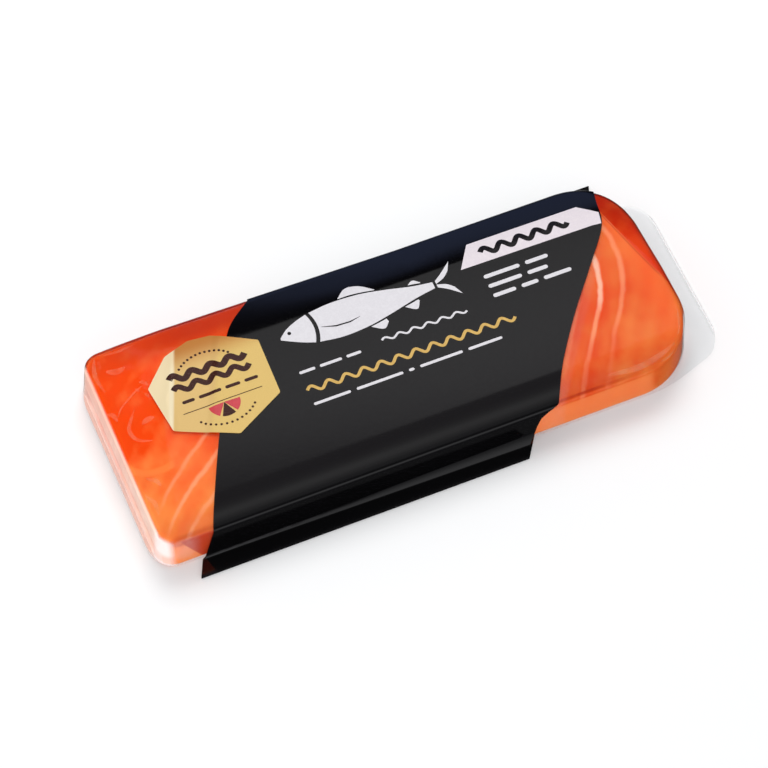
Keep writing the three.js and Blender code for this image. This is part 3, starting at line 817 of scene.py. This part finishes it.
def sleeve_rows(out, up, fin_z):
    """Rows of the band from the front fin over the top to the back fin; each is a function x -> (y, z)."""
    foot_y = -FLANGE_HALF_WIDTH - out + 0.03
    head_y = WALL_HEAD["front"] - out
    back_fold = 0.8

    def back_foot(x):
        """y of the back wall's foot, which clears the flange."""
        y, _ = back_line(x, {s: 0.0 for s in SIDES}, WALL_HEAD, out)
        rim = FLANGE_HALF_WIDTH - (FLANGE_HALF_WIDTH - TAB_CORNER[1]) * smooth(x, 76.0, 126.0)
        return np.maximum(y, rim + out - 0.03)

    rows = []
    for t in (0.0, 0.35, 0.7):
        def front_fin(x, t=t):
            y = lerp(-CARD_HALF_WIDTH, foot_y - fold_reach(x), t)
            return y, np.full_like(x, fin_z)
        rows.append(front_fin)
    for t in np.linspace(0, 1, 11):
        def front_fold(x, t=t):
            out_share = lerp(lerp(1.0, 0.38, t), lerp(0.38, 0.0, t), t)
            return foot_y - fold_reach(x) * out_share, fin_z + fold_height(x) * t
        rows.append(front_fold)
    front_radius = EDGE_RADIUS["front"]
    for t in np.linspace(0, 1, 13)[1:-1]:
        def wall_row(x, t=t):
            head_z = top_height(x, head_y) + up - front_radius
            return np.full_like(x, lerp(foot_y, head_y, t)), lerp(fin_z + fold_height(x), head_z, t)
        rows.append(wall_row)
    for roll in np.linspace(0, math.pi / 2, 9):
        def roll_row(x, roll=roll):
            y = head_y + front_radius * (1 - math.cos(roll))
            return np.full_like(x, y), top_height(x, y) + up - front_radius * (1 - math.sin(roll))
        rows.append(roll_row)
    front_end = head_y + front_radius
    back_inset = {s: EDGE_RADIUS[s] for s in SIDES}
    parts = ((0, 0.16, 14), (0.16, 0.78, 28), (0.78, 1, 28))
    spread = np.concatenate([np.linspace(*part)[1:] for part in parts])
    for t in spread[:-1]:
        def top_row(x, t=t):
            back_end, _ = back_line(x, back_inset, WALL_HEAD, out)
            y = lerp(front_end, back_end, t)
            return y, top_height(x, y) + up
        rows.append(top_row)
    for roll in np.linspace(math.pi / 2, 0, 9):
        def back_roll(x, roll=roll):
            inset = {s: EDGE_RADIUS[s] * (1 - math.cos(roll)) for s in SIDES}
            y, angle = back_line(x, inset, WALL_HEAD, out)
            return y, top_height(x, y) + up - edge_radius(angle) * (1 - math.sin(roll))
        rows.append(back_roll)
    for t in np.linspace(1, 0, 9)[1:-1]:
        def back_wall(x, t=t):
            y, angle = back_line(x, {s: 0.0 for s in SIDES}, WALL_HEAD, out)
            head_z = top_height(x, y) + up - edge_radius(angle)
            return lerp(back_foot(x), y, t), lerp(fin_z + back_fold, head_z, t)
        rows.append(back_wall)
    for a in np.linspace(math.pi / 2, 0, 5):
        def back_bend(x, a=a):
            y = back_foot(x) + back_fold * (1 - math.sin(a))
            return y, np.full_like(x, fin_z + back_fold * (1 - math.cos(a)))
        rows.append(back_bend)
    for y in (48.2, 50.5, CARD_HALF_WIDTH):
        def back_fin(x, y=y):
            return np.full_like(x, y), np.full_like(x, fin_z)
        rows.append(back_fin)
    return rows


def band_edge(y, z, right):
    """x of the band's side edge at a height and depth."""
    bend = -BAND_LEFT_EDGE[0][1]
    if abs(y) > FLANGE_HALF_WIDTH + 0.4 and (y < 0 or z < FILM_Z + 1.2):
        if y < 0:
            inner = BAND_FRONT_RIGHT[0][1] if right else BAND_FRONT_LEFT[0][1]
            outer = CARD_FRONT_RIGHT if right else CARD_FRONT_LEFT
        else:
            inner = BAND_BACK_RIGHT[0][1] if right else BAND_BACK_LEFT[0][1]
            outer = CARD_BACK_RIGHT if right else CARD_BACK_LEFT
        fin = lerp(inner, outer, np.clip((abs(y) - bend) / (CARD_HALF_WIDTH - bend), 0, 1))
        if y > 0:
            return fin
        line = BAND_FRONT_RIGHT if right else BAND_FRONT_LEFT
        wall = float(np.interp(z, [p[0] for p in line], [p[1] for p in line]))
        return lerp(fin, wall, np.clip((z - FILM_Z - BAND) / FOLD_HEIGHT[1 if right else 0], 0, 1))
    if y < -bend:
        line = BAND_FRONT_RIGHT if right else BAND_FRONT_LEFT
    elif y > bend or (right and z < 9.0 and y > 38):
        line = BAND_BACK_RIGHT if right else BAND_BACK_LEFT
    else:
        curve = RIGHT_CURVE if right else LEFT_CURVE
        return float(np.interp(y, curve[:, 1], curve[:, 0]))
    return float(np.interp(z, [p[0] for p in line], [p[1] for p in line]))


def band_sheet(out, up, fin_z):
    """Grid of points over the band: a row per station along its girth, columns from left to right."""
    grid = []
    for row in sleeve_rows(out, up, fin_z):
        ends = []
        for right in (False, True):
            x = 0.0 if not right else 60.0
            for _ in range(12):
                y, z = row(np.array([x]))
                x = lerp(x, band_edge(float(y[0]), float(z[0]), right), 0.7)
            ends.append(x)
        x = lerp(ends[0], ends[1], np.linspace(0, 1, COLUMNS))
        y, z = row(x)
        grid.append(np.column_stack([x, y, z]))
    return np.array(grid)


def grid_faces(rows, cols, first=0, flip=False):
    faces = []
    for i in range(rows - 1):
        for j in range(cols - 1):
            a = first + i * cols + j
            quad = (a, a + 1, a + cols + 1, a + cols)
            faces.append(quad[::-1] if flip else quad)
    return faces


def shell_from(outer, inner):
    """A closed thin shell from two matching grids."""
    rows, cols = outer.shape[:2]
    count = rows * cols
    points = np.concatenate([outer.reshape(-1, 3), inner.reshape(-1, 3)])
    faces = grid_faces(rows, cols) + grid_faces(rows, cols, count, flip=True)
    border = [j for j in range(cols)]
    border += [i * cols + cols - 1 for i in range(1, rows)]
    border += [(rows - 1) * cols + j for j in range(cols - 2, -1, -1)]
    border += [i * cols for i in range(rows - 2, 0, -1)]
    for a, b in zip(border, border[1:] + border[:1]):
        faces.append((b, a, a + count, b + count))
    return points, faces


def build_sleeve():
    outer = band_sheet(BAND_OUT, BAND_UP, FILM_Z + BAND)
    inner = band_sheet(BAND_OUT - BAND_THICK, BAND_UP - BAND_THICK, FILM_Z)
    inner[:, :, 0] = outer[:, :, 0]
    points, faces = shell_from(outer, inner)
    card = sleeve_material("sleeve_card_mat", True)
    make_piece("sleeve_card", points, faces, card, ["sleeve_band"])


# ---------------------------------------------------------------- prints
def on_band(x, y):
    return top_height(x, y) + BAND_UP + INK


def on_seal(x, y):
    return seal_bed(x, y) + SEAL_THICK + INK


def patch(corners, nu, nv, height):
    """Grid over a four-sided patch in plan, laid on the surface below it."""
    (ax, ay), (bx, by), (cx, cy), (dx, dy) = corners
    u = np.linspace(0, 1, nu)[None, :]
    v = np.linspace(0, 1, nv)[:, None]
    x = lerp(lerp(ax, bx, u), lerp(dx, cx, u), v)
    y = lerp(lerp(ay, by, u), lerp(dy, cy, u), v)
    return np.stack([x, y, height(x, y)], -1)


def ribbon(line, widths, height, across=3):
    """Grid along a centre line of the given half widths, laid on the surface below it."""
    line = np.asarray(line, float)
    widths = np.broadcast_to(np.asarray(widths, float), (len(line),))
    ahead = np.gradient(line, axis=0)
    ahead /= np.linalg.norm(ahead, axis=1)[:, None]
    side = np.column_stack([-ahead[:, 1], ahead[:, 0]])
    v = np.linspace(-1, 1, across)[:, None, None]
    xy = line[None] + side[None] * widths[None, :, None] * v
    return np.dstack([xy, height(xy[..., 0], xy[..., 1])])


def bar(x0, x1, y, half, height, step=1.5):
    """A straight bar with rounded ends."""
    ends = half * (1 - np.cos(np.linspace(0, math.pi / 2, 5)))
    middle = np.arange(x0 + half + step, x1 - half - step * 0.5, step)
    x = np.concatenate([x0 + ends, middle, (x1 - ends)[::-1]])
    inside = np.clip(np.minimum(x - x0, x1 - x), 0, half)
    widths = np.sqrt(np.maximum(half**2 - (half - inside) ** 2, (0.04 * half) ** 2))
    return ribbon(np.column_stack([x, np.full_like(x, y)]), widths, height)


def prints_piece(name, grids, material):
    points, faces = [], []
    for g in grids:
        first = sum(len(p) for p in points)
        points.append(g.reshape(-1, 3))
        rows, cols = g.shape[:2]
        normal = np.cross(g[0, 1] - g[0, 0], g[1, 0] - g[0, 0])
        faces += grid_faces(rows, cols, first, flip=normal[2] < 0)
    make_piece(name, np.concatenate(points), faces, material)


def even_curve(points, steps):
    """Smooth curve through the points, cut into a number of steps."""
    curve = curve_through(points, 16)
    at, own = np.linspace(0, 1, steps), np.linspace(0, 1, len(curve))
    return np.column_stack([np.interp(at, own, curve[:, k]) for k in (0, 1)])


def between_curves(top, bottom, height, bow=0.0, steps=48, across=17):
    """Grid filling the space between two curves; bow pushes its right end outwards in the middle."""
    v = np.linspace(0, 1, across)[:, None, None]
    xy = lerp(even_curve(bottom, steps)[None], even_curve(top, steps)[None], v)
    xy[:, :, 0] += bow * (1 - (2 * v[:, :, 0] - 1) ** 2) * np.linspace(0, 1, steps)[None, :] ** 2
    return np.dstack([xy, height(xy[..., 0], xy[..., 1])])


# A fish from the side in shares of its length and half height: upper and lower curve of each part.
FISH_PARTS = {
    "head": ([(0.004, 0.06), (0.05, 0.40), (0.11, 0.66), (0.175, 0.84)],
             [(0.0, -0.06), (0.05, -0.32), (0.11, -0.60), (0.165, -0.80)]),
    "body": ([(0.195, 0.88), (0.32, 1.0), (0.48, 0.93), (0.62, 0.68), (0.76, 0.36), (0.87, 0.20)],
             [(0.187, -0.85), (0.31, -1.0), (0.46, -0.93), (0.60, -0.68), (0.76, -0.33), (0.87, -0.16)]),
    "back_fin": ([(0.37, 1.10), (0.43, 1.52), (0.50, 1.40), (0.57, 0.90)],
                 [(0.37, 1.07), (0.44, 1.06), (0.51, 0.97), (0.57, 0.86)]),
    "small_fin": ([(0.745, 0.52), (0.775, 0.66), (0.81, 0.44)],
                  [(0.745, 0.49), (0.78, 0.44), (0.81, 0.38)]),
    "belly_fin": ([(0.47, -1.00), (0.52, -0.93), (0.56, -0.86)],
                  [(0.47, -1.03), (0.53, -1.34), (0.565, -1.05)]),
    "tail_fin": ([(0.68, -0.59), (0.72, -0.52), (0.76, -0.44)],
                 [(0.68, -0.62), (0.735, -0.92), (0.765, -0.52)]),
    "upper_lobe": ([(0.885, 0.21), (0.93, 0.50), (1.0, 1.02)],
                   [(0.885, 0.04), (0.935, 0.22), (0.972, 0.52)]),
    "lower_lobe": ([(0.885, 0.00), (0.935, -0.16), (0.968, -0.44)],
                   [(0.885, -0.17), (0.93, -0.44), (0.992, -0.94)]),
}
GILL_BOW = 0.02  # how far the gap behind the head bows out, as a share of the length


def fish_grids(x0, length, y, half, height):
    """A plain fish seen from the side, its parts set apart by thin gaps."""
    grids = []
    for part, curves in FISH_PARTS.items():
        top, bottom = ([(x0 + length * u, y + half * v) for u, v in curve] for curve in curves)
        grids.append(between_curves(top, bottom, height, GILL_BOW * length if part == "head" else 0.0))
    body = grids[1]
    bulge = 1 - np.linspace(-1, 1, len(body))[:, None] ** 2
    body[:, :, 0] += GILL_BOW * length * bulge * np.linspace(1, 0, body.shape[1]) ** 2
    return grids


def disc(x, y, radius, height, start=0.0, end=2 * math.pi):
    """A flat disc, or a pie slice of it."""
    angle = np.linspace(start, end, 40)
    r = np.linspace(0.03, 1.0, 3 + int(2 * radius))[:, None] * radius
    px, py = x + r * np.cos(angle), y + r * np.sin(angle)
    return np.stack([px, py, height(px, py)], -1)


def dashes(x0, lengths, y, half, gap, height):
    """A row of short rounded bars."""
    grids = []
    for length in lengths:
        grids.append(bar(x0, x0 + length, y, half, height))
        x0 += length + gap
    return grids


def wave(x0, x1, y, swing, period, half, height):
    x = np.arange(x0, x1, 0.4)
    return ribbon(np.column_stack([x, y + swing * np.sin((x - x0) * 2 * math.pi / period)]), half, height)


def above(height):
    """The next layer of ink over the one on this surface."""
    return lambda x, y: height(x, y) + INK


def build_prints():
    white = ink_material("print_white_mat", (0.72, 0.70, 0.73), (0.67, 0.65, 0.68))
    gold = ink_material("print_gold_mat", (0.66, 0.42, 0.11), (0.58, 0.36, 0.09))
    pale = ink_material("print_banner_mat", (0.76, 0.69, 0.72), (0.71, 0.64, 0.68))
    black = ink_material("print_black_mat", (0.006, 0.005, 0.006), (0.010, 0.008, 0.009))
    banner = [(33.4, 23.9), (88.7, 23.3), (86.6, 34.0), (40.2, 34.3)]
    end = [(88.7, 23.3), (92.5, 22.9), (93.6, 28.0), (86.6, 34.0)]
    grids = [patch(banner, 60, 14, on_band), patch(end, 10, 14, on_band)]
    prints_piece("print_banner", grids, pale)
    grids = fish_grids(-42.5, 73.0, 21.4, 8.0, on_band)
    for y, lengths in ((17.4, (15.0, 9.5)), (12.8, (14.0, 8.5)), (8.2, (9.5, 7.0, 11.5))):
        grids += dashes(40.2, lengths, y, 0.85, 2.4, on_band)
    grids += dashes(-41.5, (6.5, 9.0, 6.0), 4.6, 0.62, 1.9, on_band)
    grids.append(wave(-7.0, 28.5, 6.2, 0.75, 5.9, 0.42, on_band))
    grids += dashes(-41.5, (15.0, 19.0, 2.2, 17.5, 14.0), -10.2, 0.6, 2.4, on_band)
    prints_piece("print_white", grids, white)
    prints_piece("print_gold", [wave(-41.5, 44.2, -3.6, 1.35, 7.13, 0.62, on_band)], gold)
    over = above(on_band)
    grids = [wave(43.5, 80.5, 28.6, 1.5, 7.4, 1.1, over), disc(-38.4, 22.6, 0.75, over)]
    side_fin = [(-26.0, 20.6), (-20.5, 18.9), (-15.0, 18.6), (-10.5, 19.4)]
    grids.append(ribbon(side_fin, [0.08, 0.32, 0.3, 0.06], over))
    prints_piece("print_black", grids, black)


# ---------------------------------------------------------------- gold seal
# A lengthwise pinch in the seal where it leaves the fish's thick part: plan line, half width, height.
SEAL_PINCH = [(-82.4, 30.4), (-87.2, 20.8), (-91.8, 13.2), (-94.3, 0.0)]
PINCH_WIDTH = 1.8
PINCH_HEIGHT = 0.36
SEAL_SUN = (-72.4, 3.7, 6.3)  # x, y and radius


def seal_bed(x, y):
    """Height of what the seal lies on: the film, then a short climb onto the band."""
    edge = np.interp(y, LEFT_CURVE[:, 1], LEFT_CURVE[:, 0])
    climb = smooth(x, edge - SEAL_RAMP[0], edge - SEAL_RAMP[1])
    pinch = np.exp(-((segment_distance(x, y, SEAL_PINCH) / PINCH_WIDTH) ** 2))
    return top_height(x, y) + climb * BAND_UP + SEAL_BED + PINCH_HEIGHT * pinch


def seal_outline():
    corners = np.array(SEAL_CORNERS, float)
    edge = []
    for i, corner in enumerate(corners):
        before = corners[i - 1] - corner
        after = corners[(i + 1) % len(corners)] - corner
        a = corner + before / np.linalg.norm(before) * 0.5
        b = corner + after / np.linalg.norm(after) * 0.5
        edge += [a, lerp(lerp(a, b, 0.5), corner, 0.5), b]
        far = corners[(i + 1) % len(corners)]
        steps = max(2, int(np.linalg.norm(far - corner) / 0.9))
        edge += [lerp(b, far, t) for t in np.linspace(0, 1, steps)[1:-1]]
    return np.array(edge)


def dot_arc(x, y, reach, radius, degrees):
    """Dots along an upright oval's arc on the seal."""
    return [
        disc(x + reach[0] * math.cos(angle), y + reach[1] * math.sin(angle), radius, on_seal)
        for angle in np.radians(degrees)
    ]


def build_seal():
    edge = seal_outline()
    centre = np.array(SEAL_CENTRE)
    rings = 34
    count = len(edge)

    def sheet(lift):
        shares = np.linspace(0.02, 1, rings)
        xy = np.concatenate([lerp(centre, edge, k) for k in shares])
        return np.column_stack([xy, seal_bed(xy[:, 0], xy[:, 1]) + lift])

    top, under = sheet(SEAL_THICK), sheet(0.0)
    points = np.concatenate([top, under])
    first = len(top)
    faces = []
    for k in range(rings - 1):
        for j in range(count):
            n = (j + 1) % count
            a, b = k * count + j, k * count + n
            faces.append((a, a + count, b + count, b))
            faces.append((first + b, first + b + count, first + a + count, first + a))
    last = (rings - 1) * count
    for j in range(count):
        n = (j + 1) % count
        faces.append((last + j, first + last + j, first + last + n, last + n))
    faces.append(tuple(range(count)))
    faces.append(tuple(first + j for j in reversed(range(count))))
    make_piece("seal_sticker", points, faces, seal_material(), ["gold_seal"])
    brown = ink_material("print_brown_mat", (0.040, 0.011, 0.008), (0.055, 0.016, 0.011))
    grids = [wave(-88.2, -57.0, y, 1.25, 7.6, half, on_seal) for y, half in ((20.6, 1.3), (15.6, 1.15))]
    grids += dashes(-87.0, (5.0, 9.0, 6.0, 5.5), 9.4, 0.7, 1.7, on_seal)
    grids.append(bar(-88.4, -56.6, 4.6, 0.17, on_seal))
    grids.append(disc(*SEAL_SUN, on_seal, math.pi * 1.36, math.pi * 1.64))
    grids += dot_arc(-73.0, 16.0, (13.4, 11.6), 0.52, np.arange(42, 139, 8))
    grids += dot_arc(-72.6, 5.4, (13.4, 11.0), 0.5, np.arange(216, 325, 9))
    prints_piece("seal_print", grids, brown)
    rose = ink_material("print_rose_mat", (0.60, 0.060, 0.075), (0.52, 0.048, 0.062))
    turns = ((1.01, 1.31), (1.69, 1.99))
    slices = [disc(*SEAL_SUN, on_seal, math.pi * a, math.pi * b) for a, b in turns]
    prints_piece("seal_sun", slices, rose)


# ---------------------------------------------------------------- build
build_salmon()
build_film()
build_film_strokes()
build_sleeve()
build_prints()
build_seal()

for node, material in (
    ("base_film", base_film_material()),
    ("sleeve_base", sleeve_material("sleeve_base_mat", False)),
):
    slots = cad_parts[node].material_slots
    if not slots:
        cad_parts[node].data.materials.append(material)
    for held in slots:
        held.material = material

# ---------------------------------------------------------------- floor, camera, light
FLOOR_REACH = 6.0  # metres
corners = [(x * FLOOR_REACH, y * FLOOR_REACH, 0) for x, y in ((-1, -1), (1, -1), (1, 1), (-1, 1))]
floor_mesh = bpy.data.meshes.new("floor")
floor_mesh.from_pydata(corners, [], [(0, 1, 2, 3)])
floor = bpy.data.objects.new("floor", floor_mesh)
bpy.context.scene.collection.objects.link(floor)
floor_shader = Shader("floor_mat")
paper = floor_shader.first("ShaderNodeBsdfDiffuse", {"Color": (0.92, 0.92, 0.92)})
floor_mesh.materials.append(floor_shader.surface(paper))
floor.visible_glossy = False

CAMERA_AT = (-264.0, -610.05, 1082.3)
CAMERA_TO = (-9.0, -0.65, 0.0)
LENS = 154.55


def aim(thing, at, to):
    thing.location = Vector(at) * MM
    thing.rotation_euler = (Vector(to) - Vector(at)).to_track_quat("-Z", "Y").to_euler()


camera_data = bpy.data.cameras.new("camera")
camera_data.lens = LENS
camera_data.sensor_width = 36.0
camera_data.clip_start = 0.05
camera = bpy.data.objects.new("camera", camera_data)
bpy.context.scene.collection.objects.link(camera)
aim(camera, CAMERA_AT, CAMERA_TO)
bpy.context.scene.camera = camera


def panel(name, at, to, wide, deep, radiance, mirrored=False):
    """A soft rectangular light of even radiance; sizes in metres."""
    light = bpy.data.lights.new(name, "AREA")
    light.shape = "RECTANGLE"
    light.size = wide
    light.size_y = deep
    light.energy = radiance * math.pi * wide * deep
    lamp = bpy.data.objects.new(name, light)
    bpy.context.scene.collection.objects.link(lamp)
    aim(lamp, at, to)
    lamp.visible_glossy = mirrored
    lamp.visible_camera = False
    return lamp


# two panels overhead that the sleeve's flat top mirrors
for name, y, deep, radiance in (("panel_top", 575, 0.145, 0.5952), ("panel_top_edge", 487, 0.030, 0.432)):
    lamp = panel(name, (345, y, 1000), (345, y, 0), 0.86, deep, radiance, mirrored=True)
    lamp.rotation_euler.z += math.radians(-10)
panel("key", (330, 790, 1230), (0, 0, 0), 0.9, 0.9, 4.4)
for name, at, radiance in (("fill_front", (-100, -1300, 470), 2.6), ("fill_left", (-1300, -200, 350), 4.0)):
    panel(name, at, (0, 0, 0), 1.0, 0.7, radiance).data.use_shadow = False

# What the glossy faces mirror, by the angle from straight up: minus is behind the pack, plus before it.
STUDIO = [
    (-180, (0.5, 0.5, 0.5)), (-125, (0.5, 0.5, 0.5)), (-100, (0.06, 0.08, 0.14)),
    (-76, (0.12, 0.16, 0.33)), (-64, (0.20, 0.26, 0.52)), (-54, (0.235, 0.30, 0.56)),
    (-48, (0.20, 0.25, 0.46)), (-44, (0.07, 0.08, 0.14)), (-40, (0.015, 0.015, 0.025)),
    (-32, (0.0, 0.0, 0.0)), (-30, (0.27, 0.25, 0.27)), (-14, (0.27, 0.25, 0.27)),
    (-6, (0.32, 0.30, 0.32)), (-1, (0.42, 0.41, 0.42)), (4, (0.60, 0.59, 0.60)),
    (8, (0.60, 0.59, 0.60)), (12, (0.42, 0.41, 0.42)), (18, (0.26, 0.26, 0.27)),
    (35, (0.20, 0.20, 0.21)), (52, (0.08, 0.08, 0.085)), (70, (0.08, 0.08, 0.085)),
    (84, (0.78, 0.78, 0.80)), (93, (0.70, 0.70, 0.72)), (102, (0.34, 0.34, 0.35)),
    (112, (0.10, 0.10, 0.11)), (140, (0.05, 0.05, 0.055)), (152, (0.07, 0.07, 0.07)),
    (172, (0.07, 0.07, 0.07)), (180, (0.4, 0.4, 0.4)),
]
SOFT_SKY = (0.97, 0.98, 1.0)
world = bpy.data.worlds.new("studio")
bpy.context.scene.world = world
world.use_nodes = True
sky = Nodes(world.node_tree)
towards_x, towards_y, towards_z = sky.split(sky.node("ShaderNodeTexCoord").outputs["Generated"])
tilt = sky.math("ARCTAN2", towards_y * -1.0, towards_z)
# towards the right the dark gap behind the flat top reaches a little further back
behind = sky.step(tilt, -0.70, -0.56, 1.0, 0.0)
tilt += sky.step(towards_x, 0.217, 0.232, 0.0, 0.13) * behind * sky.step(towards_x, 0.238, 0.252, 1.0, 0.0)
studio = sky.node("ShaderNodeValToRGB", {0: tilt / (2 * math.pi) + 0.5})
stops = studio.color_ramp.elements
stops[0].position, stops[1].position = 0.0, 1.0
for angle, _ in STUDIO[1:-1]:
    stops.new(angle / 360 + 0.5)
for stop, (_, colour) in zip(stops, STUDIO):
    stop.color = (*colour, 1)
# dimmer to the far left and right
ends = sky.step(towards_x, -0.05, 0.12, 0.2, 1.0) * sky.step(towards_x, 0.32, 0.42, 1.0, 0.15)
mirror_sky = sky.first("ShaderNodeBackground", {0: studio.outputs[0], 1: ends})
soft_sky = sky.first("ShaderNodeBackground", {0: SOFT_SKY, 1: 0.55})
is_mirrored = sky.node("ShaderNodeLightPath").outputs["Is Glossy Ray"]
sky.node("ShaderNodeOutputWorld", {0: sky.blend(is_mirrored, soft_sky, mirror_sky)})

bpy.context.scene.view_settings.view_transform = "Standard"
bpy.context.scene.view_settings.look = "None"
